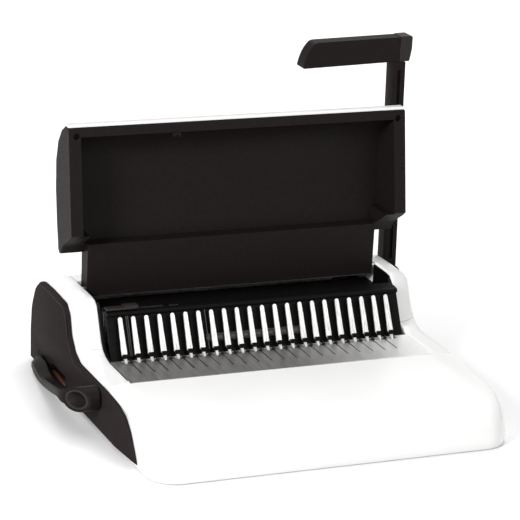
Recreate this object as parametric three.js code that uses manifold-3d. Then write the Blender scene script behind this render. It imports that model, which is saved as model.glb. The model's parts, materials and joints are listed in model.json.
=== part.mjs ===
// Manual comb binding machine, lid open and both levers at rest.
// Millimetres, +X to the right, +Y to the back, +Z up; the origin is under the middle of the overall box.
import * as THREE from 'three';
import { mergeVertices } from 'three/addons/utils/BufferGeometryUtils.js';
import Module from 'manifold-3d';

const wasm = await Module();
wasm.setup();

// ---- driving dimensions ----
const bodyShift = { x: 2.5, y: 7.75 };   // puts the middle of the overall box on the origin
const bodyHalf = 193;             // outer flank of the covers
const frontY = -195.5;
const backY = 180;
const cornerRadius = 30;          // front corners of the body in plan
const skin = 2.5;                 // wall of the moulded covers
const recessHalf = 167.8;         // inner flank of the cheeks
const coverFoot = 7;              // lower edge of the rear and side covers
const skirtFoot = 0.8;            // lower edge of the front cover
const panFloor = 3.3;             // underside of the base pan
const seamZ = 58.5;               // seam between front cover and cheek covers
const cheekTop = 104;
const gap = 0.3;                  // clearance between fitted pieces

const pitch = 14.2875;            // 9/16 inch comb pitch
const ringCount = 21;
const tineCount = ringCount + 1;
const combMid = -2;               // middle of the tine row, in body x
const tineFoot = { y: 8.75, z: 57.4 };
const tineLean = { y: 0.4633, z: 0.8862 };
const tineLength = 39.7;
const tineSheet = 1.5;
const plateFront = -52.6;
const plateBack = 8.3;
const plateTop = 52;
const hookSide = 4.5;             // a hook stands this far to the right of its tine

const throatFront = 50;
const throatGap = 3.6;
const punchZ = 74;                // height of the punched row

const hookTeeth = 12;
const hookPitch = 6;              // tooth pitch along the pitch line
const hookRadius = hookTeeth * hookPitch / (2 * Math.PI);
const combShaft = { y: 124, z: 14.5 };
const driveShaft = { y: 74, z: 61.9 };
const crankLength = 16;
const crankAngle = THREE.MathUtils.degToRad(99);   // both cranks at rest, from +Y towards +Z
const punchTeeth = 10;
const punchPitch = 5;
const punchRadius = punchTeeth * punchPitch / (2 * Math.PI);
const punchShaft = { y: 150, z: 64 };
const hinge = { y: 100, z: 100 };

const lidHalf = 190;
const neckHalf = 164.2;
const lidTop = 275;
const rimTop = { y: 94, z: 273 }; // the open lid's front rim leans back by rimLean
const rimLean = 0.174;

// ---- colours ----
const look = (color, roughness, metalness = 0) =>
  new THREE.MeshStandardMaterial({ color, roughness, metalness });
const white = () => look(0xf4f4f2, 0.18);
const charcoal = () => look(0x37302f, 0.45);
const black = () => look(0x171515, 0.55);
const steel = () => look(0xb9b9b7, 0.28, 1);
const dullSteel = () => look(0x8b8c8e, 0.45, 1);
const rubber = () => look(0x1b1b1b, 0.9);

// ---- solids ----
function solid(geometry) {
  const bare = geometry.index ? geometry.toNonIndexed() : geometry.clone();
  bare.deleteAttribute('normal');
  bare.deleteAttribute('uv');
  const merged = mergeVertices(bare, 1e-4);
  return new wasm.Manifold(new wasm.Mesh({
    numProp: 3,
    vertProperties: merged.attributes.position.array,
    triVerts: new Uint32Array(merged.index.array),
  }));
}

function geometryOf(manifold) {
  const mesh = manifold.getMesh();
  const geometry = new THREE.BufferGeometry();
  geometry.setAttribute('position', new THREE.BufferAttribute(new Float32Array(mesh.vertProperties), 3));
  geometry.setIndex(new THREE.BufferAttribute(new Uint32Array(mesh.triVerts), 1));
  geometry.computeVertexNormals();
  return geometry;
}

const joined = (...parts) => parts.flat().reduce((a, b) => a.add(b));
const cut = (body, ...tools) => tools.flat().reduce((a, b) => a.subtract(b), body);

function block(x, y, z) {
  const geometry = new THREE.BoxGeometry(x[1] - x[0], y[1] - y[0], z[1] - z[0]);
  geometry.translate((x[0] + x[1]) / 2, (y[0] + y[1]) / 2, (z[0] + z[1]) / 2);
  return solid(geometry);
}

// A round bar along X between two x values, centred on a {y, z} axis.
function bar(radius, x, axis, sides = 20) {
  const geometry = new THREE.CylinderGeometry(radius, radius, x[1] - x[0], sides);
  geometry.rotateZ(Math.PI / 2);
  geometry.translate((x[0] + x[1]) / 2, axis.y, axis.z);
  return solid(geometry);
}

// A round bar along Y.
function barY(radius, y, x, z, sides = 16) {
  const geometry = new THREE.CylinderGeometry(radius, radius, y[1] - y[0], sides);
  geometry.translate(x, (y[0] + y[1]) / 2, z);
  return solid(geometry);
}

// An outline with its corners rounded: corners are [a, b] or [a, b, radius].
function rounded(corners, steps = 4) {
  const points = [];
  corners.forEach(([a, b, radius = 0], i) => {
    const corner = new THREE.Vector2(a, b);
    if (!radius) {
      points.push(corner);
      return;
    }
    const [pa, pb] = corners[(i + corners.length - 1) % corners.length];
    const [na, nb] = corners[(i + 1) % corners.length];
    const toPrev = new THREE.Vector2(pa, pb).sub(corner).normalize();
    const toNext = new THREE.Vector2(na, nb).sub(corner).normalize();
    const half = Math.acos(THREE.MathUtils.clamp(toPrev.dot(toNext), -1, 1)) / 2;
    const reach = radius / Math.tan(half);
    const centre = corner.clone().addScaledVector(
      toPrev.clone().add(toNext).normalize(), radius / Math.sin(half));
    const from = corner.clone().addScaledVector(toPrev, reach).sub(centre);
    const to = corner.clone().addScaledVector(toNext, reach).sub(centre);
    const sweep = Math.atan2(from.cross(to), from.dot(to));
    for (let k = 0; k <= steps; k++)
      points.push(from.clone().rotateAround(new THREE.Vector2(), sweep * k / steps).add(centre));
  });
  return points;
}

const toYZ = (list) => list.map(([y, z]) => new THREE.Vector2(y, z));

// Extrudes an outline of (y, z) points along X; chamfer takes the outline's edges off at both ends.
function slabX(points, x, chamfer = 0, steps = 1) {
  const geometry = new THREE.ExtrudeGeometry(new THREE.Shape(points), {
    depth: x[1] - x[0] - 2 * chamfer,
    bevelEnabled: chamfer > 0,
    bevelThickness: chamfer,
    bevelSize: chamfer,
    bevelOffset: -chamfer,
    bevelSegments: steps,
  });
  geometry.translate(0, 0, x[0] + chamfer);
  // Shape (u, v, w) becomes (w, u, v): u is y, v is z and the depth runs along x.
  geometry.applyMatrix4(new THREE.Matrix4().set(0, 0, 1, 0, 1, 0, 0, 0, 0, 1, 0, 0, 0, 0, 0, 1));
  return solid(geometry);
}

// Extrudes an outline of (x, y) points along Z.
function slabZ(points, z) {
  const geometry = new THREE.ExtrudeGeometry(new THREE.Shape(points), {
    depth: z[1] - z[0],
    bevelEnabled: false,
  });
  geometry.translate(0, 0, z[0]);
  return solid(geometry);
}

// Extrudes an outline of (x, z) points along Y.
function slabY(points, y) {
  const geometry = new THREE.ExtrudeGeometry(new THREE.Shape(points), {
    depth: y[1] - y[0],
    bevelEnabled: false,
  });
  geometry.rotateX(Math.PI / 2);
  geometry.translate(0, y[1], 0);
  return solid(geometry);
}

// A closed solid through rings of equally many (y, z) points, each at its own x, from the left to the right.
// Both ends get a flat cap.
function loft(rings) {
  const count = rings[0].length;
  const turn = THREE.ShapeUtils.area(rings[0].map((p) => new THREE.Vector2(p.y, p.z)));
  const ordered = turn > 0 ? rings : rings.map((ring) => [...ring].reverse());
  const positions = [];
  const index = [];
  ordered.forEach((ring) => ring.forEach((p) => positions.push(p.x, p.y, p.z)));
  for (let r = 0; r + 1 < ordered.length; r++) {
    for (let i = 0; i < count; i++) {
      const a = r * count + i;
      const b = r * count + (i + 1) % count;
      index.push(a, b, a + count, b, b + count, a + count);
    }
  }
  for (const [r, side] of [[0, -1], [ordered.length - 1, 1]]) {
    const flat = ordered[r].map((p) => new THREE.Vector2(p.y, p.z));
    THREE.ShapeUtils.triangulateShape(flat, []).forEach((triangle) => {
      const facing = THREE.ShapeUtils.area(triangle.map((i) => flat[i]));
      const corners = facing * side > 0 ? triangle : [...triangle].reverse();
      index.push(...corners.map((i) => i + r * count));
    });
  }
  const geometry = new THREE.BufferGeometry();
  geometry.setAttribute('position', new THREE.Float32BufferAttribute(positions, 3));
  geometry.setIndex(index);
  return solid(geometry);
}

const mirrored = (manifold) => manifold.mirror([1, 0, 0]);

// ---- the assembly ----
const machine = new THREE.Group();
const assembly = new THREE.Group();
assembly.position.set(bodyShift.x, bodyShift.y, 0);
machine.add(assembly);

function add(name, shape, material) {
  const mesh = new THREE.Mesh(geometryOf(shape), material);
  mesh.name = name;
  assembly.add(mesh);
}

// Tine and ring places along the row.
const tineX = (i) => combMid + (i - (tineCount - 1) / 2) * pitch;
const ringX = (i) => combMid + (i - (ringCount - 1) / 2) * pitch;
const ringRow = Array.from({ length: ringCount }, (_, i) => i);
const tineRow = Array.from({ length: tineCount }, (_, i) => i);

// ---- white covers ----
const apronBack = -45;            // the front cover's own surface ends here, inside the cheek strips

// Height of the apron's rear edge: it falls away towards the flank.
const apronTop = (x) => plateTop - 3 * THREE.MathUtils.smoothstep(Math.abs(x), 160, bodyHalf);

// Section of the front cover at x, shrunk by inset on its outside.
function frontSection(x, inset, foot) {
  const across = Math.max(0, Math.abs(x) - (bodyHalf - cornerRadius));
  const radius = cornerRadius - inset;
  const nose = frontY + cornerRadius - Math.sqrt(Math.max(0, radius ** 2 - across ** 2));
  const shoulder = Math.min(1, (apronTop(x) - coverFoot) / 45);
  const curve = [
    [0, 0], [0.4, 0.16], [2.2, 0.33], [6.5, 0.52], [13, 0.68], [22, 0.8], [33, 0.87], [50, 0.91],
  ];
  const ring = [new THREE.Vector3(x, nose + 1, foot)];
  curve.forEach(([depth, height]) => ring.push(
    new THREE.Vector3(x, nose + depth, coverFoot + 45 * shoulder * height - inset * height + 0.01)));
  ring.push(new THREE.Vector3(x, apronBack, apronTop(x) - inset));
  ring.push(new THREE.Vector3(x, apronBack, foot));
  return ring;
}

function frontBlock(inset, foot) {
  const half = bodyHalf - inset;
  const start = bodyHalf - cornerRadius;
  const stations = [0, start / 2, start];
  for (let k = 1; k <= 9; k++) stations.push(start + (half - start) * Math.sin(k / 9 * Math.PI / 2));
  const all = [...stations.slice(1).reverse().map((x) => -x), ...stations];
  return loft(all.map((x) => frontSection(x, inset, foot)));
}

// The cheek's section at its inner and its outer flank, from the apron strip up and back.
const cheekInner = [
  [-50, 52], [8, 52], [20, 54.3], [28, 58], [34, 64.5], [40, 76], [47, 90], [52, 98], [59, 102.6],
  [68, 103.8], [104, cheekTop], [136, 103.4], [150, 100.5], [162, 92], [171, 77], [176, 60],
];
const cheekOuter = [
  [-50, 49], [15, 49], [26, 49.4], [35, 52.2], [42, 57], [49, 64.2], [55, 74], [60.5, 86.5], [65.5, 93.8],
  [73, 97], [104, 97.8], [136, 97], [149, 93.8], [161, 85.5], [170, 72], [176, 57],
];

function cheekSection(x, inset, foot) {
  const share = (Math.abs(x) - recessHalf) / (bodyHalf - recessHalf);
  const edge = Math.min(Math.abs(x) - recessHalf, bodyHalf - Math.abs(x)) - inset;
  const drop = edge < 2 ? 1.6 * (1 - edge / 2) ** 2 : 0;
  const crown = 1.5 * Math.sin(share * Math.PI);
  const line = cheekInner.map(([y, z], i) => new THREE.Vector2(
    THREE.MathUtils.lerp(y, cheekOuter[i][0], share),
    THREE.MathUtils.lerp(z, cheekOuter[i][1], share) + (i > 1 ? crown : 0)));
  const ring = line.map((p, i) => {
    const before = line[Math.max(0, i - 1)];
    const after = line[Math.min(line.length - 1, i + 1)];
    const along = after.clone().sub(before).normalize();
    return new THREE.Vector3(x, p.x + along.y * (inset + drop), p.y - along.x * (inset + drop));
  });
  ring.push(new THREE.Vector3(x, ring.at(-1).y, foot));
  ring.push(new THREE.Vector3(x, ring[0].y, foot));
  return ring;
}

function cheekBlock(inset, foot) {
  const from = recessHalf + inset;
  const to = bodyHalf - inset;
  const shares = [0, 0.04, 0.1, 0.3, 0.5, 0.7, 0.9, 0.96, 1];
  return loft(shares.map((s) => cheekSection(from + (to - from) * s, inset, foot)));
}

const cheekShell = cut(cheekBlock(0, coverFoot), cheekBlock(skin, -40));
const strip = cut(
  cheekShell.intersect(block([recessHalf - 1, bodyHalf + 1], [-60, 62], [0, seamZ - gap])),
  block([recessHalf - 1, recessHalf + skin], [-40, 63], [0, 46]));
const apron = cut(
  frontBlock(0, skirtFoot),
  frontBlock(skin, -40),
  block([-recessHalf, recessHalf], [plateFront - gap, 0], [-1, 90]),
  block([-bodyHalf + skin, bodyHalf - skin], [plateFront + 3, 0], [-1, 43]));
add('front_cover', joined(apron, strip, mirrored(strip)), white());

const tower = cheekShell.intersect(block([recessHalf - 1, bodyHalf + 1], [0, 190], [seamZ, 120]));
const towerBores = [
  bar(2.9, [recessHalf - 3, recessHalf + 5], hinge, 12),
  bar(6.5, [recessHalf - 3, bodyHalf + 3], punchShaft, 20),
  bar(4.3, [recessHalf - 3, recessHalf + 5], driveShaft, 16),
];
add('right_cheek_cover', cut(tower, towerBores), white());
add('left_cheek_cover', mirrored(cut(tower, towerBores)), white());

// ---- base pan, feet and rear cover ----
function panOutline(inset) {
  const half = bodyHalf - 5.5 - inset;
  return rounded([
    [-half, frontY + 8 + inset, cornerRadius - 8 - inset],
    [half, frontY + 8 + inset, cornerRadius - 8 - inset],
    [half, backY - 6.5 - inset, 12 - inset], [-half, backY - 6.5 - inset, 12 - inset],
  ], 6);
}
add('base_pan', cut(
  slabZ(panOutline(0), [panFloor, 12]),
  slabZ(panOutline(2.5), [6, 13]),
  block([180, bodyHalf], [71, 133], [6, 13]),
  block([-bodyHalf, -183], [combShaft.y - 7, combShaft.y + 7], [9.5, 13])), black());

for (const [name, x, y] of [
  ['foot_front_left', -150, -140], ['foot_front_right', 150, -140],
  ['foot_rear_left', -160, 150], ['foot_rear_right', 160, 150],
]) {
  const profile = [[0, 0], [9.5, 0], [11, 1], [11, panFloor], [0, panFloor]];
  const foot = new THREE.LatheGeometry(profile.map(([r, z]) => new THREE.Vector2(r, z)), 20);
  foot.rotateX(Math.PI / 2);
  foot.translate(x, y, 0);
  add(name, solid(foot), rubber());
}

const rearFront = 117.5;
const rearOuter = [
  [rearFront, 84], [rearFront, 103.2], [136, 102.8], [149.6, 99.9], [161.4, 91.5], [170.3, 76.6],
  [175.4, 60],
  [178.6, 40], [backY, 22], [backY, coverFoot],
];
const rearInner = [
  [backY - skin, coverFoot], [backY - skin, 22], [176, 40], [172.9, 60], [168, 75.6], [159.7, 89.6],
  [148.7, 97.5], [135.8, 100.2], [rearFront + skin, 100.4], [rearFront + skin, 84],
];
// Below the cheeks the rear cover runs over the full width, with a return at either end.
const rearCorner = block([-bodyHalf, bodyHalf], [172.5, 200], [0, 56.5]);
const rearHalf = bodyHalf - gap;
const rearDeck = slabX(toYZ([...rearOuter, ...rearInner]), [-recessHalf + gap, recessHalf - gap]);
const rearWall = slabX(toYZ([...rearOuter, ...rearInner]), [-rearHalf, rearHalf]).intersect(rearCorner);
const rearEnd = slabX(toYZ([...rearOuter, [rearFront, coverFoot]]), [rearHalf - skin, rearHalf])
  .intersect(rearCorner);
const ventSlots = Array.from({ length: 7 }, (_, i) =>
  block([-45 + 15 * i, -37 + 15 * i], [backY - 10, backY + 5], [26, 29.5]));
add('rear_cover', cut(joined(rearDeck, rearWall, rearEnd, mirrored(rearEnd)), ventSlots), white());

// ---- side panels ----
const sideOutline = rounded([
  [-147, 4], [-140, 14.5, 8], [-127, 31, 20], [-112, 42, 20], [-92, 46.8, 30], [-60, 48.4], [24, 48.4, 16],
  [40, 54.5, 14], [53, 68, 20], [60.5, 88, 12], [71, 97, 10], [112, 98.4], [143, 97.6, 12], [160, 85, 25],
  [170.5, 62, 30], [172.2, 34, 40], [170, 4],
], 3);
const panelX = [bodyHalf + gap, bodyHalf + 6.3];
const drawerY = [69.5, 134.5];
// Seen from above, the left panel's outer face draws in towards the front corner.
const panelPlan = slabZ(rounded([
  [190, 200], [panelX[1], 200], [panelX[1], -88, 240], [panelX[0] + 0.7, -148], [190, -148],
], 4), [0, 110]);
const panel = slabX(sideOutline, panelX, 1.6, 2).intersect(panelPlan);
// The right panel is flat and stands back from the cover's edge.
const flatOutline = rounded([
  [-122, 8], [-107, 26, 18], [-86, 36, 20], [-60, 39], [30, 39, 16], [46, 46, 14], [58, 62, 20], [66, 82, 12],
  [76, 88, 10], [112, 89], [140, 88.5, 12], [156, 77, 22], [165, 58, 25], [167, 34, 30], [165, 8],
], 3);
const flatX = [bodyHalf + gap, bodyHalf + 2.3];
add('right_side_panel', cut(
  slabX(flatOutline, flatX, 0.6),
  block([190, 202], drawerY, [4.6, 43]),
  bar(6.4, [190, 202], punchShaft, 24)), charcoal());
const window = slabX(rounded([[54, 11], [101, 11, 3], [101, 22.7, 8], [54, 22.7]], 4), [195.3, 205]);
const reliefBars = [116, 124.3, 132.5, 141].map((y) => block([198.3, 205], [y - 1.5, y + 1.5], [8, 21.5]));
add('left_side_panel', mirrored(cut(
  panel,
  bar(6.4, [190, 202], combShaft, 24),
  window,
  reliefBars)), charcoal());

// ---- side frames: steel plates that carry the shafts, seen as the dark lining of the recess ----
const frameOutline = toYZ([
  [-40, 7], [-40, 45], [8, 50], [19.6, 52.9], [27.3, 56.8], [33.2, 63.2], [39.1, 75.4], [46, 88.6],
  [51, 95.3], [57, 100.1], [57, 76], [164, 76], [170, 50], [170.5, 7],
]);
const frameX = [164.7, 167.2];
const shaftBores = [bar(6.4, [150, 180], punchShaft, 20), bar(4.3, [150, 180], driveShaft, 16)];
const sideFrame = cut(slabX(frameOutline, frameX), shaftBores);
add('left_frame_plate', cut(mirrored(sideFrame), bar(4.3, [-180, -150], combShaft, 16)), black());
add('right_frame_plate', cut(sideFrame, block([150, 180], [70, 134], [7, 42.5])), black());

// ---- comb plate: a flat steel sheet, notched round every tine and slotted for every hook ----
const slotHalf = 0.75;
const plateNotches = tineRow.map((i) => block([tineX(i) - 4, tineX(i) + 4], [0.2, 12], [40, 60]));
const plateSlots = ringRow.map((i) =>
  block([tineX(i) + hookSide - slotHalf, tineX(i) + hookSide + slotHalf], [-29, 12], [40, 60]));
add('comb_plate', cut(
  block([-recessHalf + 0.5, recessHalf - 0.5], [plateFront, plateBack], [plateTop - tineSheet, plateTop]),
  plateNotches,
  plateSlots), steel());

// ---- tine row: upright tines on narrow roots that rise from a strip below the plate ----
// Stands an outline of (x, along) points up at slope, with its front face through the tine's foot.
function leaf(x, outline, slope) {
  const shape = new THREE.Shape(outline.map(([a, b]) => new THREE.Vector2(a, b)));
  const geometry = new THREE.ExtrudeGeometry(shape, { depth: tineSheet, bevelEnabled: false });
  geometry.translate(0, 0, -tineSheet);
  geometry.rotateX(slope);
  geometry.translate(x, tineFoot.y, tineFoot.z);
  return solid(geometry);
}

const stripZ = [plateTop - tineSheet - gap - 1.4, plateTop - tineSheet - gap];
function tine(x) {
  const base = 3;
  const tip = 2.1;
  const outline = [[-base, 0], [base, 0]];
  for (let k = 0; k <= 4; k++) {
    const angle = k / 4 * Math.PI;
    outline.push([tip * Math.cos(angle), tineLength - tip + tip * Math.sin(angle)]);
  }
  return joined(
    leaf(x, outline, Math.atan2(tineLean.z, tineLean.y)),
    leaf(x, [[-2.05, 1], [-0.9, -10], [0.9, -10], [2.05, 1]], Math.PI / 4),
    block([x - 0.9, x + 0.9], [1.6, 10], stripZ));
}
add('tine_row', joined(
  block([tineX(0) - 3, tineX(ringCount) + 3], [8.6, 12.4], stripZ),
  tineRow.map((i) => tine(tineX(i)))), steel());

// ---- hook rack: slides forward under the comb plate and pulls the comb's rings open ----
// Teeth of a rack that point up (side 1) or down (side -1); one gap is centred on the pinion at y.
function rackTeeth(x, pitchZ, spacing, tall, y, before, after, side) {
  const teeth = [];
  const half = spacing * 0.21;
  const root = pitchZ - side * (tall + 0.4);
  const tip = pitchZ + side * 0.75 * tall;
  for (let k = -before; k < after; k++) {
    const mid = y + (k + 0.5) * spacing;
    teeth.push(slabX(toYZ([
      [mid - half - 0.36 * tall, root], [mid - half + 0.27 * tall, tip],
      [mid + half - 0.27 * tall, tip], [mid + half + 0.36 * tall, root],
    ]), x));
  }
  return teeth;
}

const hookTall = 1.9;
const rackTop = driveShaft.z - hookRadius - hookTall;
const rackZ = [44.6, rackTop];
const rackArm = (x) => joined(
  block([x - 3, x + 3], [5, driveShaft.y + 5.5 * hookPitch], rackZ),
  rackTeeth([x - 3, x + 3], driveShaft.z - hookRadius, hookPitch, hookTall, driveShaft.y, 2, 5, 1));

const hookOutline = toYZ([
  [-2.2, 47], [4.2, 47], [4.2, 53.5], [2.4, 55.5], [-3, 54.3], [-2.8, 53.3], [0.6, 53.3], [-2.2, 50.1],
]);
const hook = (x) => slabX(hookOutline, [x - 0.45, x + 0.45]);

add('hook_rack', joined(
  block([-161, 161], [-2.2, 7], rackZ),
  rackArm(-158),
  rackArm(158),
  ringRow.map((i) => hook(tineX(i) + hookSide))), dullSteel());

// ---- pinions, cranks and shafts of the comb opener ----
// A spur gear about X with one tooth at angle phase, measured from +Y towards +Z.
function gear(x, axis, teeth, spacing, tall, phase) {
  const radius = teeth * spacing / (2 * Math.PI);
  const step = 2 * Math.PI / teeth;
  const outline = [];
  for (let i = 0; i < teeth; i++) {
    const mid = phase + i * step;
    for (const [reach, half] of [[-tall, -0.29], [0.75 * tall, -0.12], [0.75 * tall, 0.12], [-tall, 0.29]]) {
      outline.push(new THREE.Vector2(
        axis.y + (radius + reach) * Math.cos(mid + half * step),
        axis.z + (radius + reach) * Math.sin(mid + half * step)));
    }
  }
  return slabX(outline, x);
}

const hookGear = (x) => cut(
  gear(x, driveShaft, hookTeeth, hookPitch, hookTall, Math.PI / 2),
  bar(4.01, [x[0] - 1, x[1] + 1], driveShaft, 16));
add('drive_shaft', bar(3.9, [-180.6, 167.5], driveShaft, 16), steel());
add('hook_pinion_left', hookGear([-161, -155]), dullSteel());
add('hook_pinion_right', hookGear([155, 161]), dullSteel());

// Two equal cranks and the link between them make a parallelogram.
const crankX = [-180.5, -177.5];
const linkX = [-184.5, -181.5];
const crankTip = (axis) => ({
  y: axis.y + crankLength * Math.cos(crankAngle),
  z: axis.z + crankLength * Math.sin(crankAngle),
});
// A flat bar with round ends between two {y, z} points.
function strap(x, from, to, half) {
  const side = new THREE.Vector2(from.z - to.z, to.y - from.y).setLength(half);
  return joined(
    bar(half, x, from, 16),
    bar(half, x, to, 16),
    slabX(toYZ([
      [from.y + side.x, from.z + side.y], [from.y - side.x, from.z - side.y],
      [to.y - side.x, to.z - side.y], [to.y + side.x, to.z + side.y],
    ]), x));
}
const crank = (axis, bore) => joined(
  cut(
    joined(strap(crankX, axis, crankTip(axis), 5), bar(8, crankX, axis)),
    bar(bore, [-190, -170], axis, 16),
  ),
  bar(2.5, [linkX[0] - 0.3, crankX[0] + 0.1], crankTip(axis), 12));
add('comb_crank', crank(combShaft, 4.31), dullSteel());
add('drive_crank', crank(driveShaft, 4.01), dullSteel());
add('crank_link', cut(
  strap(linkX, crankTip(combShaft), crankTip(driveShaft), 5),
  bar(2.85, [-190, -180], crankTip(combShaft), 12),
  bar(3.1, [-190, -180], crankTip(driveShaft), 12)), dullSteel());
add('comb_lever_shaft', bar(4.2, [-206.5, -163], combShaft, 16), steel());
add('comb_lever_bush', cut(
  bar(6.3, [-202, -188], combShaft, 24),
  bar(4.5, [-210, -180], combShaft, 16)), black());

// ---- comb lever: a blade from the hub forward to a hollow round knob with an oblique face ----
// Sections along the blade: y, outer and inner face, bottom, top of the outer and of the inner face.
const bladeStations = [
  [136, -208.5, -204, 8, 11, 14],
  [133, -210, -203.5, 4.4, 13, 18],
  [120, -212, -203, 2.6, 15, 22.5],
  [100, -215, -204, 3.6, 14.5, 23.5],
  [80, -218, -206.5, 6.2, 15.5, 20],
  [60, -221, -208.5, 10, 19.5, 19.6],
  [40, -224, -209.5, 14.8, 24.3, 22],
  [20, -227.3, -210, 20, 29.5, 26],
  [0, -230.5, -210, 25.4, 34.8, 30],
  [-15, -232.1, -209.5, 28.5, 38.4, 33],
  [-28, -232.5, -208.5, 28, 41.5, 38],
  [-40, -226.5, -206, 27, 45, 45.5],
];
function bladeRing([y, outer, inner, bottom, outerTop, innerTop]) {
  const soft = Math.min(2, (outerTop - bottom) / 3);
  return [
    [outer + soft, bottom], [outer, bottom + soft], [outer, outerTop - 0.6 * soft], [outer + soft, outerTop],
    [inner - soft, innerTop], [inner, innerTop - soft], [inner, bottom + soft], [inner - soft, bottom],
  ].map(([x, z]) => new THREE.Vector3(-y, x, z));
}
const blade = loft(bladeStations.map(bladeRing)).rotate([0, 0, -90]);

const knob = { y: -46, z: 37 };
const knobRadius = 12.8;
const linerRadius = 10.4;
const fingerRadius = 8.2;
const knobBack = -201.5;
const knobFloor = -209.5;
const leverTip = -232.5;          // the outermost point of the machine on the left
const knobFace = (y) => -222.1 - 0.84 * (y - knob.y);
const oblique = slabZ([
  new THREE.Vector2(-260, -70), new THREE.Vector2(knobFace(-70), -70),
  new THREE.Vector2(knobFace(-20), -20), new THREE.Vector2(-260, -20),
], [0, 80]);
const beyondTip = block([-260, leverTip], [-70, -20], [0, 80]);
add('comb_lever_arm', cut(
  joined(blade, bar(knobRadius, [-250, knobBack], knob, 32), bar(6.3, [-206, -202.3], combShaft, 24)),
  bar(linerRadius + gap, [-260, knobFloor + 2 + gap], knob, 32),
  oblique,
  beyondTip,
  bar(4.25, [-206.8, -190], combShaft, 16)), charcoal());
add('comb_knob', cut(
  bar(linerRadius, [-250, knobFloor + 2], knob, 32),
  bar(fingerRadius, [-260, knobFloor], knob, 32),
  oblique,
  beyondTip), charcoal());

// ---- punch housing: sloped wall behind the tines, top bar and throat ----
const housingOutline = rounded([
  [13.1, 50.5], [34.1, 90.8], [31.2, 92.6, 0.8], [32.2, 95.6, 2], [37, 96.5, 6], [49.6, 97.2],
  [49.6, 93.4], [39, 93.2, 3], [36.4, 90], [16.1, 50.5],
], 3);
const guideGroove = block([-165, -92], [38, 43.4], [95.4, 100]);
const housing = cut(slabX(housingOutline, [-164.3, 164.3]), guideGroove);
const wallRib = (x) => slabX(
  toYZ([[13.9, 54.4], [32.8, 90.6], [34, 90.6], [15, 53.6]]), [x - 0.8, x + 0.8]);
add('punch_housing', joined(housing, wallRib(tineX(0) + 6.4), wallRib(tineX(6) + 7)), black());

const track = block([-160, -100], [38.2, 43.2], [95.5, 96.1]);
const guideFoot = block([-158, -135], [39.2, 42.2], [96.1, 97.4]);
const guideBar = slabX(
  rounded([[34.4, 97.4], [33.8, 98.9, 0.8], [42.5, 99.6, 0.8], [44, 97.4]], 2), [-163.6, -130]);
const guideBump = slabX(
  rounded([[34, 99], [33.4, 100.4, 1], [37, 101.4, 2], [44, 101, 1.4], [45, 99]], 3), [-144.5, -129.5]);
add('edge_guide_track', track, dullSteel());
add('edge_guide', joined(guideFoot, guideBar, guideBump), charcoal());

// ---- punch: die plate and guide plate with the throat between them ----
const plateBores = (y) => ringRow.map((i) =>
  block([ringX(i) - 4.1, ringX(i) + 4.1], y, [punchZ - 1.6, punchZ + 1.6]));
add('die_plate', cut(
  block([-164, 164], [throatFront - 7.5, throatFront - 0.4], [60, 92.8]),
  plateBores([20, 70])), dullSteel());
const guideFront = throatFront + throatGap;
add('guide_plate', cut(
  block([-164, 164], [guideFront, guideFront + 3], [60, 81]),
  plateBores([20, 70])), dullSteel());
add('throat_floor', block([-164, 164], [throatFront - 0.1, guideFront - 0.3], [60, 66]), black());

const pin = (x) => block([x - 3.95, x + 3.95], [guideFront + 0.6, 83], [punchZ - 1.45, punchZ + 1.45]);
add('punch_pins', joined(
  block([-153, 153], [82, 86], [70, 78]),
  ringRow.map((i) => pin(ringX(i)))), steel());

const punchPitchZ = punchShaft.z + punchRadius;
const pressArm = (x) => joined(
  block([x - 4, x + 4], [94, 165.8], [punchPitchZ + 1.4, 77]),
  rackTeeth([x - 4, x + 4], punchPitchZ, punchPitch, 1.4, punchShaft.y, 1, 3, -1));
add('pressure_bar', joined(
  block([-153, 153], [86, 96], [67, 78]),
  pressArm(-150),
  pressArm(150)), dullSteel());

const punchGear = (x) => cut(
  gear(x, punchShaft, punchTeeth, punchPitch, 1.4, Math.PI / 2),
  bar(4.31, [x[0] - 1, x[1] + 1], punchShaft, 16));
add('punch_pinion_left', punchGear([-154, -146]), dullSteel());
add('punch_pinion_right', punchGear([146, 154]), dullSteel());
add('punch_shaft', joined(
  bar(4.2, [-172, 172], punchShaft, 16),
  bar(6.1, [160, 219], punchShaft, 20)), steel());

// ---- deck behind the throat, with the dark lining beside the lid's neck ----
const deckBack = rearFront - 0.5;
const deckOutline = toYZ([
  [guideFront + 0.2, 81.3], [guideFront + 0.2, 83], [guideFront + 1.2, 84], [58, 84], [64, 81.5],
  [deckBack, 81.5], [deckBack, 79], [57.2, 79], [57.2, 81.3],
]);
const liningOutline = toYZ([[62, 79.5], [58, 82], [58, 101.4], [68, 102.4], [96, 102.6], [96, 79.5]]);
const lining = slabX(liningOutline, [166.2, 167.5]);
add('rear_deck', joined(
  slabX(deckOutline, [-164.3, 164.3]),
  block([-167.5, 167.5], [65.5, deckBack], [79, 81.5]),
  lining,
  mirrored(lining)), black());

// ---- chip tray: a drawer that pulls out to the right ----
const trayBox = { x: [-148, 192.5], y: [72.5, 131.5], z: [7, 39] };
const tray = cut(
  block(trayBox.x, trayBox.y, trayBox.z),
  block([trayBox.x[0] + 2, trayBox.x[1] - 2], [trayBox.y[0] + 2, trayBox.y[1] - 2], [9, 50]));
add('chip_tray', tray, charcoal());
const trayFront = slabX(rounded([
  [drawerY[0] + 0.5, 5.1, 3], [drawerY[1] - 0.5, 5.1, 3],
  [drawerY[1] - 0.5, 42.5, 3], [drawerY[0] + 0.5, 42.5, 3],
], 3), [192.8, 198], 1, 1);
add('chip_tray_front', cut(trayFront, block([195.4, 205], [88, 116], [25, 39])), charcoal());

add('chip_chute', slabX(toYZ([[40.5, 56], [42, 57], [69, 46.4], [69, 44.4]]), [-149, 149]), charcoal());

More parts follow.
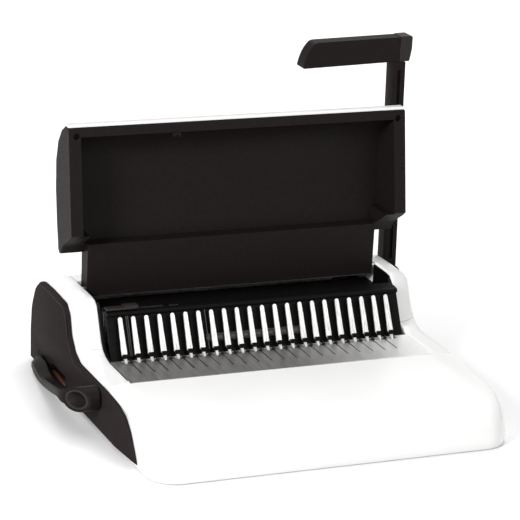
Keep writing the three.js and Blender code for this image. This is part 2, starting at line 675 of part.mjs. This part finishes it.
// ---- lid: dark inner tray with ears, white outer shell, hinge pins ----
// Side outline of the lid: the leaning rim in front, the curved back behind it.
const rimY = (z) => rimTop.y - (rimTop.z - z) * rimLean;
const lidBack = [
  [104.5, lidTop], [115, 268.5], [125, 254.5], [130, 233], [128.3, 203], [121.8, 168], [117, 150],
];
const earOutline = [
  [rimY(lidTop), lidTop], ...lidBack, [115.5, 141.5], [112, 138], [107.2, 138.4], [102.6, 147.2], [95, 153],
  [82, 161], [rimY(166), 166],
];
const earBlock = slabX(toYZ(earOutline), [-lidHalf, lidHalf]);
const neckOutline = [
  [96, 92.5], [96, 200], [127.8, 200], [121, 168], [116, 150], [114, 120], [113.5, 92.5],
];
const neckBlock = slabX(toYZ(neckOutline), [-neckHalf, neckHalf]);
const hollowOutline = [
  [60, 266], [102, 266], [112.5, 260.5], [121.5, 249.5], [126.5, 232], [125, 203], [118.6, 169], [114.6, 149],
  [60, 149],
];
const rimWidth = 13;
const hollow = slabX(toYZ(hollowOutline), [-lidHalf + rimWidth, lidHalf - rimWidth])
  .intersect(joined(
    block([-lidHalf, lidHalf], [50, 140], [164, 300]),
    block([-recessHalf, recessHalf], [50, 140], [140, 172])));
const screwHole = (x, z) => barY(3.6, [85, 98.5], x, z);
const screwSpots = [['left', -181.5], ['right', 181.5]];
const screwZ = 267;
const lidBore = bar(2.75, [150, 170], hinge, 16);
add('lid_frame', cut(
  joined(earBlock, neckBlock),
  hollow,
  screwSpots.map(([, x]) => screwHole(x, screwZ)),
  lidBore,
  mirrored(lidBore)), charcoal());

screwSpots.forEach(([side, x]) => {
  add('lid_screw_' + side, cut(
    barY(3.2, [95.6, 98.2], x, screwZ, 12),
    block([x - 2.4, x + 2.4], [95, 96.6], [screwZ - 0.4, screwZ + 0.4])), dullSteel());
});

// The white outer skin wraps the back and the top edge of the lid.
function shellOutline(outer) {
  const line = [[rimY(lidTop) + 1.5, lidTop + gap], [lidBack[0][0], lidTop + gap], ...lidBack.slice(1)];
  return line.map(([y, z], i) => {
    const before = line[Math.max(0, i - 1)];
    const after = line[Math.min(line.length - 1, i + 1)];
    const along = new THREE.Vector2(after[0] - before[0], after[1] - before[1]).normalize();
    return new THREE.Vector2(y - along.y * outer, z + along.x * outer);
  });
}
const shellRing = [...shellOutline(3), ...shellOutline(gap).reverse()];
add('lid_shell', slabX(shellRing, [-lidHalf + 0.5, lidHalf - 0.5]), white());

for (const [name, x] of [['lid_pin_left', [-172, -161]], ['lid_pin_right', [161, 172]]])
  add(name, bar(2.5, x, hinge, 16), steel());

// ---- punch lever: arm outside the right flank, corner cap and grip ----
const arm = { x: [205, 221.5], thick: 17 };
const leverLean = 0.0454;         // the upright arm leans back by this slope
const armMid = (z) => punchShaft.y + 9 + (z - punchShaft.z) * leverLean;
const armTopZ = 311;
function leverArm() {
  const half = arm.thick / 2;
  const outline = toYZ([
    [armMid(44) - half, 56], [armMid(armTopZ) - half, armTopZ], [armMid(armTopZ) + half, armTopZ],
    [armMid(44) + half, 56],
  ]);
  const post = joined(
    slabX(outline, arm.x, 2, 2),
    bar(15, arm.x, punchShaft, 28));
  const groove = slabX(toYZ([
    [armMid(70) - half - 6, 84], [armMid(306) - half - 6, 306], [armMid(306) - half + 3, 300],
    [armMid(84) - half + 3, 90],
  ]), [211, 215.5]);
  return cut(post, groove, bar(6.15, [195, 219.3], punchShaft, 20));
}
add('lever_arm', leverArm(), charcoal());

const gripY = [armMid(326) - 9, armMid(326) + 9];
const capX = 213.4;               // seam between the corner cap and the grip
const capOutline = rounded([
  [capX, armTopZ + gap], [225.2, armTopZ + gap, 2], [227.5, 325], [227.5, 339.6, 2], [capX, 339.2],
], 3);
add('lever_corner_cap', slabY(capOutline, gripY), charcoal());
const droop = 2.6;
const gripOutline = rounded([
  [97.5, 310.5 - droop, 2], [capX - 0.4, armTopZ + gap], [capX - 0.4, 338.6],
  [111, 338.8 - droop, 9], [102, 325, 40],
], 4);
const gripSolid = slabY(gripOutline, [gripY[0] + 0.6, gripY[1] - 0.6]);
add('lever_grip', cut(gripSolid, block([203, capX], [150, 190], [300, armTopZ + gap])), charcoal());

export default machine;
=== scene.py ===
"""Looks for the comb binding machine: camera, studio, finishes and small trim on the CAD frame.

Outlines of the trim are in millimetres from a corner of the CAD node that they sit on."""

import json
import math

import bmesh
import bpy
from mathutils import Matrix, Vector


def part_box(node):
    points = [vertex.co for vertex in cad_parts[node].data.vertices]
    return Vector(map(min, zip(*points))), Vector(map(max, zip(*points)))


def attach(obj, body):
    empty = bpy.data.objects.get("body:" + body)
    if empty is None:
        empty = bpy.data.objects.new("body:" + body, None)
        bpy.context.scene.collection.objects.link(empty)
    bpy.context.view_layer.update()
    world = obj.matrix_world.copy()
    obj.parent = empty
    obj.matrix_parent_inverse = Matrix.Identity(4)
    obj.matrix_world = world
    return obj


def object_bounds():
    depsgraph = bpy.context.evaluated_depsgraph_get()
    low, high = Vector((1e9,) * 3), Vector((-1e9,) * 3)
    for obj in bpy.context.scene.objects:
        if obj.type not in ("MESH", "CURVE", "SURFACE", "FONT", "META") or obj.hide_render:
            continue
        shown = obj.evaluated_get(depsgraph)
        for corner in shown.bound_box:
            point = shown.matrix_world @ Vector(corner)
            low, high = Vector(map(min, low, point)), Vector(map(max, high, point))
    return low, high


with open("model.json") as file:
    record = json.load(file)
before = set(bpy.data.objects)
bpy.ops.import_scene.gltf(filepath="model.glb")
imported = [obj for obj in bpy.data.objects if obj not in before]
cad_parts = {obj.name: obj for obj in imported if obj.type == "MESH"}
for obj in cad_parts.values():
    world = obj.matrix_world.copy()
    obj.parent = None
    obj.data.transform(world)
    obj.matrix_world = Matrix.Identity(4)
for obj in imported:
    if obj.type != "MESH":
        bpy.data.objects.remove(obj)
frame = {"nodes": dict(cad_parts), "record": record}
cad_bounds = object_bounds()
NODES = frame["nodes"]
MM = 0.001


# ---- finishes ----
class Finish:
    """A Principled material whose detail comes from procedural nodes in the object's own metres."""

    def __init__(self, name, colour, roughness, metallic=0.0):
        self.material = bpy.data.materials.new(name)
        self.material.use_nodes = True
        self.tree = self.material.node_tree
        self.shader = self.tree.nodes["Principled BSDF"]
        self.shader.inputs["Base Color"].default_value = (*colour, 1)
        self.shader.inputs["Roughness"].default_value = roughness
        self.shader.inputs["Metallic"].default_value = metallic
        self.material.diffuse_color = (*colour, 1)
        self.place = self.tree.nodes.new("ShaderNodeTexCoord").outputs["Object"]
        self.normal = None

    def link(self, source, target):
        self.tree.links.new(source, target)

    def noise(self, scale, detail=2.0, stretch=(1, 1, 1)):
        """Soft random tone; stretch squeezes it along each axis."""
        mapping = self.tree.nodes.new("ShaderNodeMapping")
        mapping.inputs["Scale"].default_value = stretch
        self.link(self.place, mapping.inputs["Vector"])
        node = self.tree.nodes.new("ShaderNodeTexNoise")
        node.inputs["Scale"].default_value = scale
        node.inputs["Detail"].default_value = detail
        self.link(mapping.outputs["Vector"], node.inputs["Vector"])
        return node.outputs["Fac"]

    def grain(self, scale):
        """Fine cells, as on a spark-eroded mould."""
        node = self.tree.nodes.new("ShaderNodeTexVoronoi")
        node.inputs["Scale"].default_value = scale
        self.link(self.place, node.inputs["Vector"])
        return node.outputs["Distance"]

    def spread(self, source, low, high, start=0.35, end=0.65):
        """Maps the source's range from start to end onto low to high."""
        node = self.tree.nodes.new("ShaderNodeMapRange")
        node.inputs["From Min"].default_value = start
        node.inputs["From Max"].default_value = end
        node.inputs["To Min"].default_value = low
        node.inputs["To Max"].default_value = high
        self.link(source, node.inputs["Value"])
        return node.outputs["Result"]

    def blend(self, factor, first, second):
        """Mixes two colours, each a tuple or another node's output."""
        node = self.tree.nodes.new("ShaderNodeMix")
        node.data_type = "RGBA"
        self.link(factor, node.inputs["Factor"])
        for socket, value in ((node.inputs[6], first), (node.inputs[7], second)):
            if isinstance(value, tuple):
                socket.default_value = (*value, 1)
            else:
                self.link(value, socket)
        return node.outputs[2]

    def colour(self, source):
        self.link(source, self.shader.inputs["Base Color"])

    def roughness(self, source):
        self.link(source, self.shader.inputs["Roughness"])

    def bump(self, height, distance, strength=1.0):
        node = self.tree.nodes.new("ShaderNodeBump")
        node.inputs["Distance"].default_value = distance
        node.inputs["Strength"].default_value = strength
        self.link(height, node.inputs["Height"])
        if self.normal:
            self.link(self.normal, node.inputs["Normal"])
        self.normal = node.outputs["Normal"]
        self.link(self.normal, self.shader.inputs["Normal"])

    def edges(self, radius):
        """A mask that is 1 on the outward edges and 0 on open faces."""
        bevel = self.tree.nodes.new("ShaderNodeBevel")
        bevel.inputs["Radius"].default_value = radius
        geometry = self.tree.nodes.new("ShaderNodeNewGeometry")
        dot = self.tree.nodes.new("ShaderNodeVectorMath")
        dot.operation = "DOT_PRODUCT"
        self.link(bevel.outputs["Normal"], dot.inputs[0])
        self.link(geometry.outputs["Normal"], dot.inputs[1])
        return self.spread(dot.outputs["Value"], 1, 0, 0.75, 0.99)

    def fine(self, **inputs):
        """Sets further inputs of the shader by name, with an underscore for each space."""
        for name, value in inputs.items():
            self.shader.inputs[name.replace("_", " ")].default_value = value


def white_gloss():
    """The covers' white ABS: a smooth, lightly coated gloss."""
    finish = Finish("white_gloss_abs", (0.84, 0.84, 0.835), 0.2)
    cloud = finish.spread(finish.noise(9, 3), 0, 1)
    finish.colour(finish.blend(cloud, (0.8, 0.8, 0.795), (0.78, 0.78, 0.772)))
    finish.roughness(finish.spread(finish.noise(60, 4), 0.2, 0.25))
    finish.bump(finish.noise(1400, 2), 0.00001, 0.3)
    finish.fine(Coat_Weight=0.2, Coat_Roughness=0.1)
    return finish.material


def moulded(name, tint, rough, edge, shine):
    """Dark moulded plastic: fine spark-eroded grain, faint tone changes, and edges painted paler, partly
    as wear and partly as a painted highlight.
    """
    finish = Finish(name, tint, sum(rough) / 2)
    tone = finish.spread(finish.noise(240, 5), 0, 1)
    body = finish.blend(tone, tuple(c * 0.92 for c in tint), tuple(c * 1.1 for c in tint))
    # painted highlight: the edge mask lifts the colour on all edges, partly for wear and partly for the
    # light that edges catch
    finish.colour(finish.blend(finish.edges(0.0008), body, tuple(c * edge for c in tint)))
    finish.roughness(finish.spread(finish.noise(300, 4), *rough))
    finish.bump(finish.grain(2600), 0.00003, 0.5)
    finish.bump(finish.noise(1500, 3), 0.00002, 0.4)
    finish.fine(Specular_IOR_Level=shine)
    return finish.material


def painted_steel():
    """Black paint, a little paler where the edges are worn."""
    black = (0.004, 0.0038, 0.0038)
    finish = Finish("black_paint", black, 0.4)
    finish.colour(finish.blend(finish.edges(0.0005), black, (0.02, 0.019, 0.018)))
    finish.roughness(finish.spread(finish.noise(150, 4), 0.3, 0.5))
    finish.bump(finish.noise(900, 3), 0.00004, 0.6)
    finish.fine(Specular_IOR_Level=0.2)
    return finish.material


def drawn_steel(name, dark, pale, rough, stretch, scale=200, metallic=1.0):
    """Sheet steel with drawing lines; stretch is 1 along the lines and larger across them."""
    finish = Finish(name, pale, sum(rough) / 2, metallic)
    lines = finish.noise(scale, 3, stretch)
    finish.colour(finish.blend(finish.spread(lines, 0, 1), dark, pale))
    finish.roughness(finish.spread(lines, *rough))
    finish.bump(lines, 0.000004, 0.3)
    return finish.material


def plate_steel():
    """The comb plate's satin sheet: lines running away from the wall, and a painted reflection that
    turns it paler towards the right end.
    """
    finish = Finish("plate_steel", (0.36, 0.355, 0.35), 0.42, 0.8)
    lines = finish.noise(45, 3, (14, 0.4, 1))
    satin = finish.blend(finish.spread(lines, 0, 1), (0.22, 0.212, 0.208), (0.31, 0.3, 0.293))
    parts = finish.tree.nodes.new("ShaderNodeSeparateXYZ")
    finish.link(finish.place, parts.inputs[0])
    # painted reflection: the colour turns towards near-white along x, to the plate's right end
    pale = finish.spread(parts.outputs["X"], 0, 1, 0.02, 0.17)
    finish.colour(finish.blend(pale, satin, (0.8, 0.8, 0.79)))
    finish.roughness(finish.spread(lines, 0.38, 0.46))
    finish.bump(lines, 0.000004, 0.3)
    return finish.material


def rubber():
    """Matte black rubber for the feet."""
    finish = Finish("rubber", (0.016, 0.016, 0.016), 0.85)
    tone = finish.spread(finish.noise(200, 4), 0, 1)
    finish.colour(finish.blend(tone, (0.013, 0.013, 0.013), (0.024, 0.023, 0.022)))
    finish.roughness(finish.spread(finish.noise(320, 3), 0.75, 0.92))
    finish.bump(finish.noise(1500, 3), 0.00006, 0.7)
    return finish.material


def painted_reflection_copper():
    """A copper-brown metal for the strip in the left panel's window, a painted reflection along the
    window's lower edge.
    """
    finish = Finish("painted_reflection_copper", (0.16, 0.055, 0.025), 0.4, metallic=0.6)
    tone = finish.spread(finish.noise(300, 5), 0, 1)
    finish.colour(finish.blend(tone, (0.1, 0.035, 0.017), (0.22, 0.08, 0.036)))
    finish.roughness(finish.spread(finish.noise(220, 4), 0.32, 0.55))
    finish.bump(finish.noise(1200, 3), 0.00003, 0.5)
    return finish.material


FINISHES = {
    "white_shell": white_gloss(),
    "charcoal_plastic": moulded("charcoal_abs", (0.011, 0.0088, 0.0083), (0.42, 0.48), 2.0, 0.055),
    "black_plastic": moulded("black_moulded", (0.0032, 0.0028, 0.0027), (0.38, 0.52), 1.8, 0.07),
    "black_painted_steel": painted_steel(),
    "polished_steel": drawn_steel(
        "polished_steel", (0.74, 0.74, 0.73), (0.86, 0.86, 0.85), (0.24, 0.36), (12, 1, 1)),
    "bare_steel": drawn_steel("bare_steel", (0.2, 0.2, 0.2), (0.32, 0.32, 0.32), (0.3, 0.45), (1, 9, 9)),
    "rubber_foot": rubber(),
}
# painted reflection: the copper colour of the strip in the left panel's window
PAINTED_REFLECTION_COPPER = painted_reflection_copper()
# painted light: a paler copy of the charcoal, so the knob, the edge guide with its finger rest and the
# lever's corner cap look lit
PAINTED_LIGHT_ABS = moulded("painted_light_abs", (0.022, 0.0188, 0.018), (0.36, 0.42), 1.8, 0.12)
# painted sheen: a paler, shinier copy of the charcoal for the wall's ribs and bar and the guide's lip
# and marks; its paler colour stands in for light they catch
SATIN_PAINTED_SHEEN = moulded("satin_painted_sheen_abs", (0.034, 0.029, 0.028), (0.26, 0.36), 1.5, 0.3)

# ---- the CAD nodes: finish, smooth shading and softened edges ----
OWN_FINISH = {
    "comb_plate": plate_steel(),
    # painted shade: the hooks in black paint, so the slots above them read dark
    "hook_rack": FINISHES["black_painted_steel"],
    # painted shade: the screw heads in black, for the dark holes they sit in
    "lid_screw_left": FINISHES["black_plastic"],
    "lid_screw_right": FINISHES["black_plastic"],
    "comb_lever_shaft": FINISHES["black_painted_steel"],
    # painted light: a paler, matte copy of the charcoal for the left panel only, which faces the key
    # light; the right panel keeps the plain charcoal
    "left_side_panel": moulded("painted_light_panel_abs", (0.019, 0.0155, 0.0148), (0.5, 0.56), 1.8, 0.01),
    "comb_knob": PAINTED_LIGHT_ABS,
    "edge_guide": PAINTED_LIGHT_ABS,
    "lever_corner_cap": PAINTED_LIGHT_ABS,
    # painted reflection: the tines get a pale, mostly non-metallic colour that stands in for the bright
    # reflections of polished steel
    "tine_row": drawn_steel(
        "tine_steel", (0.5, 0.49, 0.48), (0.86, 0.86, 0.85), (0.26, 0.4), (9, 0.5, 0.5), 160, 0.3),
}
# how far each node's sharp edges are rounded, in millimetres
PLAIN_EDGE = 0.3
EDGE_WIDTHS = {
    "lid_frame": 0.9, "lever_grip": 1.4, "lever_corner_cap": 0.9, "lever_arm": 0.6, "comb_knob": 0.5,
    "comb_lever_arm": 0.5, "left_side_panel": 0.4, "right_side_panel": 0.4, "edge_guide": 0.4,
    "tine_row": 0.15, "punch_pins": 0.15,
}
WELD_DISTANCE = 0.01 * MM
SHARP_ANGLE = math.radians(40)


def dress_cad_nodes():
    """Gives each CAD node its finish, and shades it smooth with its edges rounded."""
    for row in frame["record"]["subparts"]:
        node = NODES[row["node"]]
        node.data.materials.clear()
        node.data.materials.append(OWN_FINISH.get(row["node"], FINISHES[row["material_slot"]]))
        for name in ("custom_normal", "sharp_face"):
            if name in node.data.attributes:
                node.data.attributes.remove(node.data.attributes[name])
        weld = node.modifiers.new("weld", "WELD")
        weld.merge_threshold = WELD_DISTANCE
        soften(node, EDGE_WIDTHS.get(row["node"], PLAIN_EDGE))
        node.data.shade_smooth()


def soften(piece, width):
    """Rounds the piece's sharp edges by a width in millimetres."""
    bevel = piece.modifiers.new("soft_edges", "BEVEL")
    bevel.width = width * MM
    bevel.segments = 2
    bevel.limit_method = "ANGLE"
    bevel.angle_limit = SHARP_ANGLE
    bevel.harden_normals = True


dress_cad_nodes()


# ---- added pieces ----
SINK = 0.2  # how deep a piece on the wall reaches into it, in millimetres


def low_corner(node):
    """The corner of a CAD node's box with the lowest x, y and z."""
    return Vector(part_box(node)[0])


def high_corner(node):
    """The corner of a CAD node's box with the highest x, y and z."""
    return Vector(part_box(node)[1])


def extruded(name, outline, depth, corners, slot, body="chassis", axis="X", soft=0.15, material=None):
    """Copies of a flat outline in millimetres, pushed by depth along an axis, one at each corner point.

    The outline is (y, z) for axis X and (x, z) for axis Y."""
    shape = bmesh.new()
    count = len(outline)
    for corner in corners:
        rings = []
        for along in (0, depth):
            flat = [(along, a, b) if axis == "X" else (a, along, b) for a, b in outline]
            rings.append([shape.verts.new(Vector(point) * MM + Vector(corner)) for point in flat])
        for i in range(count):
            j = (i + 1) % count
            shape.faces.new((rings[0][i], rings[0][j], rings[1][j], rings[1][i]))
        for ring in rings:
            shape.faces.new(ring)
    bmesh.ops.recalc_face_normals(shape, faces=shape.faces)
    mesh = bpy.data.meshes.new(name)
    shape.to_mesh(mesh)
    shape.free()
    mesh.materials.append(material or FINISHES[slot])
    piece = bpy.data.objects.new(name, mesh)
    bpy.context.scene.collection.objects.link(piece)
    soften(piece, soft)
    mesh.shade_smooth()
    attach(piece, body)
    return piece


def arc(centre, radius, start, end, steps=10):
    """Points of an arc in the outline's plane, angles in degrees."""
    turns = [math.radians(start + (end - start) * k / steps) for k in range(steps + 1)]
    return [(centre[0] + radius * math.cos(t), centre[1] + radius * math.sin(t)) for t in turns]


# the row of tines: the standard comb pitch, and half a tine's width at its foot in millimetres
PITCH = 14.2875 * MM
TINES = 22
FOOT_HALF = 3


def wall_x(place):
    """The x of a place in the row of tines, where 0 is the first tine."""
    return low_corner("tine_row").x + FOOT_HALF * MM + place * PITCH


def tine_foot_shade_bands():
    """Black bands over the bend where each tine turns down into its root, standing in for the shadow
    line and dark notch at each tine's foot: painted shade.
    """
    width = 5.2
    outline = [(0, 1.3), (-0.9, 1.1), (-3.3, -2.2), (-2.4, -2.8)]
    foot = low_corner("tine_row") + Vector((FOOT_HALF, 7.15, 8.6)) * MM
    corners = [foot + Vector((i * PITCH - width / 2 * MM, 0, 0)) for i in range(TINES)]
    # painted shade: one black band at each tine's foot
    extruded("tine_foot_shade_bands", outline, width, corners, "black_plastic", soft=0.1)


# the housing's wall leans back: its foot, its upward and its outward direction, as (y, z)
WALL_FOOT = Vector((0.3, 3.6))
WALL_UP = Vector((20, 38)).normalized()
WALL_OUT = Vector((-WALL_UP.y, WALL_UP.x))


def on_wall(up, out):
    """The (y, z) of a point so far up the wall and so far in front of it."""
    return tuple(WALL_FOOT + WALL_UP * up + WALL_OUT * out)


def wall_corner(place):
    """The wall's lower end at a place in the row of tines."""
    low = low_corner("punch_housing")
    return Vector((wall_x(place), low.y, low.z))


def wall_ribs():
    """Upright ribs on the wall: a pair between tines 1 and 2, and one between tines 7 and 8."""
    height, depth = 42, 0.7
    section = [(0, -SINK), (height, -SINK), (height, depth), (0, depth)]
    outline = [on_wall(up, out) for up, out in section]
    corners = [wall_corner(place) for place in (0.55, 0.68, 6.6)]
    extruded("wall_ribs", outline, 0.9, corners, "charcoal_plastic", soft=0.15, material=SATIN_PAINTED_SHEEN)


def wall_reflection_bar():
    """A low rounded bar across the middle of the wall in the paler satin, standing in for the reflection
    of the white front in the glossy wall: a painted reflection.
    """
    first, last = 6.5, 14.1
    middle, half_height, depth = 12, 4.2, 1.5
    half_circle = arc((0, 0), 1, 180, 0, 14)
    outline = [on_wall(middle + half_height * a, depth * b - SINK) for a, b in half_circle]
    length = (wall_x(last) - wall_x(first)) / MM
    corners = [wall_corner(first)]
    # painted reflection: the paler bar where the glossy wall shows a reflected band
    extruded("wall_reflection_bar", outline, length, corners, "charcoal_plastic", soft=0.3, material=SATIN_PAINTED_SHEEN)


def window_insert():
    """The left panel's window: a black floor standing in for the shade inside the pocket (painted
    shade), and a copper-coloured strip along its lower edge (painted reflection).
    """
    low = low_corner("left_side_panel")
    floor_inset, strip_inset = 3.6, 0.5
    back = [(201.2, 7.5), (201.2, 14.5)] + arc((205, 14.5), 3.6, 180, 90, 6)
    back += arc((239.5, 11.2), 7.2, 90, 0, 8) + [(246.7, 7.5)]
    corner = low + Vector((floor_inset, 0, 0)) * MM
    # painted shade: a black sheet on the pocket's floor, where the window is dark from shade
    extruded("window_shade_floor", back, 0.35, [corner], "black_plastic", soft=0.1)
    # painted reflection: a copper-coloured strip along the window's lower edge, where a reflection shows
    strip = [(201.6, 7.3), (246.4, 7.3), (246.6, 9.6), (236, 10), (220, 9.4), (204, 9.3), (201.8, 8.6)]
    corner = low + Vector((strip_inset, 0, 0)) * MM
    extruded("window_reflection_strip", strip, 3, [corner], "bare_steel", material=PAINTED_REFLECTION_COPPER)


def guide_hump():
    """The rounded finger rest on the edge guide, with a lip in front of it."""
    low, high = low_corner("edge_guide"), high_corner("edge_guide")
    corner = Vector((high.x - 14.4 * MM, low.y, low.z))
    dome = [(1.4, 1.2)] + arc((6.6, 1.2), 4, 160, 20, 12) + [(11, 1.2)]
    extruded("guide_hump", dome, 13.8, [corner], "charcoal_plastic", "edge_guide",
             soft=0.5, material=PAINTED_LIGHT_ABS)
    lip = [(0.1, 2.6), (0.1, 3.1), (0.9, 3.3), (0.9, 2.6)]
    extruded("guide_lip", lip, 32, [low], "charcoal_plastic", "edge_guide",
             soft=0.08, material=SATIN_PAINTED_SHEEN)


def panel_rim():
    """A fine raised line inside the left panel's upper edge."""
    low = low_corner("left_side_panel")
    line = [
        (90, 41.2), (171, 41.2), (184, 46), (196, 59), (205.5, 81), (214.5, 89.5), (258, 91), (288, 90),
    ]
    back = [(y + 0.9, z - 1.1) for y, z in reversed(line)]
    corner = low + Vector((-0.15, 0, 0)) * MM
    extruded("panel_rim", line + back, 0.35, [corner], "charcoal_plastic", soft=0.1)


def lid_latch():
    """The small catch in the middle of the lid's upper rim."""
    low, high = low_corner("lid_frame"), high_corner("lid_frame")
    width, leg, top = 8.8, 2.4, 3.8
    outline = [
        (0, 0), (0, 3.2), (1.2, top), (width - 1.2, top), (width, 3.2), (width, 0),
        (width - leg, 0), (width - leg, 2), (leg, 2), (leg, 0),
    ]
    corner = Vector((low.x + 112 * MM, high.y - 42.5 * MM, high.z - 12.6 * MM))
    extruded("lid_latch", outline, 3, [corner], "charcoal_plastic", "lid", axis="Y", soft=0.2)


def guide_marks():
    """Three small raised bars beside the edge guide, without any lettering."""
    low = low_corner("edge_guide_track")
    top = high_corner("punch_housing").z
    width, height, length = 2.2, 0.35, 2.4
    outline = [(0, 0), (width, 0), (width, height), (0, height)]
    first, spacing, count = 66, 3.4, 3
    across = [low.x + (first + spacing * i) * MM for i in range(count)]
    corners = [Vector((x, low.y - 1.2 * MM, top - 0.45 * MM)) for x in across]
    extruded("guide_marks", outline, length, corners, "charcoal_plastic",
             axis="Y", soft=0.08, material=SATIN_PAINTED_SHEEN)


def pivot_cover():
    """The round cap over the punch lever's pivot, with a screwdriver slot."""
    radius, thickness = 9.5, 1.6
    joints = {joint["name"]: joint for joint in frame["record"]["behaviour"]["joints"]}
    _, pivot_y, pivot_z = joints["punch_lever_hinge"]["pos_m"]
    centre = Vector((high_corner("lever_arm").x, pivot_y, pivot_z))
    ring = arc((0, 0), radius, 0, 360, 36)[:-1]
    extruded("pivot_cover", ring, thickness, [centre], "black_plastic", "punch_lever", soft=0.6)
    slot_outline = [(-5.5, -0.7), (5.5, -0.7), (5.5, 0.7), (-5.5, 0.7)]
    face = centre + Vector((thickness - 0.1, 0, 0)) * MM
    extruded("pivot_slot", slot_outline, 0.3, [face], "bare_steel", "punch_lever", soft=0.08)


tine_foot_shade_bands()
wall_ribs()
wall_reflection_bar()
window_insert()
guide_hump()
panel_rim()
lid_latch()
guide_marks()
pivot_cover()


# ---- studio ----
def floor():
    """A wide pale floor that fills the frame."""
    pale = (0.84, 0.84, 0.84)
    mesh = bpy.data.meshes.new("floor")
    span = 6.0
    corners = [(-span, -span, 0), (span, -span, 0), (span, span, 0), (-span, span, 0)]
    mesh.from_pydata(corners, [], [(0, 1, 2, 3)])
    plane = bpy.data.objects.new("floor", mesh)
    bpy.context.scene.collection.objects.link(plane)
    finish = Finish("pale_floor", pale, 0.6)
    tone = finish.spread(finish.noise(3, 3), 0, 1)
    finish.colour(finish.blend(tone, pale, (0.82, 0.82, 0.82)))
    mesh.materials.append(finish.material)


def area_light(name, place, aim, size, power):
    """A rectangular light at a place, turned towards aim; size in metres and power in watts."""
    data = bpy.data.lights.new(name, "AREA")
    data.shape = "RECTANGLE"
    data.size, data.size_y = size
    data.energy = power
    light = bpy.data.objects.new(name, data)
    light.location = place
    light.rotation_euler = (Vector(aim) - Vector(place)).to_track_quat("-Z", "Y").to_euler()
    bpy.context.scene.collection.objects.link(light)


def studio():
    """A white world, a key light from the left, and soft lights in front, above and behind."""
    world = bpy.data.worlds.new("studio")
    bpy.context.scene.world = world
    world.use_nodes = True
    background = world.node_tree.nodes["Background"]
    background.inputs["Color"].default_value = (1, 1, 1, 1)
    background.inputs["Strength"].default_value = 0.5
    area_light("key", (-2.2, -1.2, 1.4), (0, 0, 0.12), (0.7, 0.7), 66)
    area_light("fill", (0.8, -2.4, 1.6), (0, 0, 0.1), (1.2, 1.0), 15)
    area_light("top", (0.3, 0.5, 2.4), (0, 0, 0.1), (2.4, 2.0), 18)
    area_light("backdrop", (0.9, 2.2, 2.6), (0.7, 2.0, 0), (3.0, 2.0), 70)
    bpy.context.scene.view_settings.view_transform = "Standard"


# the camera fitted to the photo: angles in degrees, lens in millimetres, the rest in metres
AZIMUTH, ELEVATION, ROLL = -23.81, 17.86, 3.16
DISTANCE = 2.594
LENS = 175.6
AIM_SHIFT = Vector((-0.0101, 0.0057, -0.0173))


def camera():
    """The photo's view: from the front left, a little above, with a long lens and a slight roll."""
    azimuth, elevation, roll = (math.radians(angle) for angle in (AZIMUTH, ELEVATION, ROLL))
    forward = Vector((-math.sin(azimuth) * math.cos(elevation),
                      math.cos(azimuth) * math.cos(elevation), -math.sin(elevation)))
    level = Vector((math.cos(azimuth), math.sin(azimuth), 0))
    upright = level.cross(forward)
    right = level * math.cos(roll) + upright * math.sin(roll)
    up = upright * math.cos(roll) - level * math.sin(roll)
    low, high = cad_bounds
    aim = (low + high) / 2 + AIM_SHIFT
    data = bpy.data.cameras.new("camera")
    data.lens = LENS
    data.sensor_width = 36
    data.clip_end = 30
    eye = bpy.data.objects.new("camera", data)
    turn = Matrix((right, up, -forward)).transposed().to_4x4()
    eye.matrix_world = Matrix.Translation(aim - forward * DISTANCE) @ turn
    bpy.context.scene.collection.objects.link(eye)
    bpy.context.scene.camera = eye


floor()
studio()
camera()
